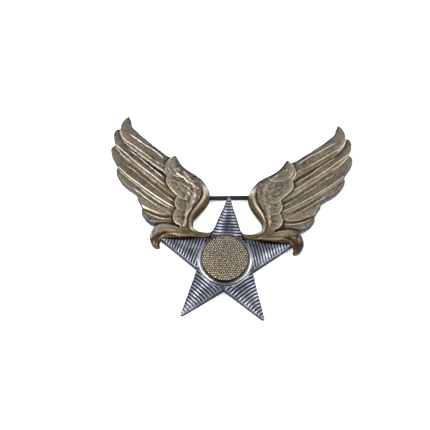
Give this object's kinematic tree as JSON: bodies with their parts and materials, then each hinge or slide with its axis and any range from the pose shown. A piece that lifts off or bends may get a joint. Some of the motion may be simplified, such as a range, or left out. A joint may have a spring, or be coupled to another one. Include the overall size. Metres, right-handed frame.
{
  "type": "pilot wings pin",
  "caption": "Winged star badge with two upswept feathered wings, a ribbed five-pointed star, a stippled centre disc, a hinged pin and a rotating safety catch.",
  "frame": {"origin": "centre of the star's flat back, the face that lies against the garment", "axes": "+Z out of the badge's face, +Y towards its worn top, +X to the viewer's right when looking at the face"},
  "size_m": [0.0586, 0.0487, 0.0102],
  "materials": {
    "wing_gold_wash": "worn gold wash over silver, dark in the recesses",
    "star_silver": "silver, polished on the ribs and dark between them",
    "bezel_silver": "polished silver",
    "disc_gold_wash": "gold wash, stippled",
    "finding_metal": "tarnished, satin",
    "rotor_metal": "tarnished, rubbed bright on the tab",
    "rivet_metal": "tarnished, satin",
    "solder": "dull soft solder",
    "stem_steel": "dark oxidised wire, satin"
  },
  "bodies": {
    "badge": {"left_wing": "wing_gold_wash", "right_wing": "wing_gold_wash", "star": "star_silver", "disc_bezel": "bezel_silver", "star_disc": "disc_gold_wash", "tang_rivets": "rivet_metal", "hinge_bracket": "finding_metal", "hinge_solder": "solder", "hinge_rivet": "rivet_metal", "catch_housing": "finding_metal", "catch_solder": "solder"},
    "stem": {"pin_stem": "stem_steel"},
    "catch": {"catch_rotor": "rotor_metal"}
  },
  "joints": [
    {"name": "stem_swing", "type": "hinge", "parent": "badge", "child": "stem", "pos_m": [-0.01347, 0.01663, -0.003], "axis": [-0.0645, 0.9979, 0], "range_deg": [0, 95]},
    {"name": "catch_turn", "type": "hinge", "parent": "badge", "child": "catch", "pos_m": [0.01297, 0.01834, -0.003], "axis": [-0.9979, -0.0645, 0], "range_deg": [0, 120]}
  ]
}
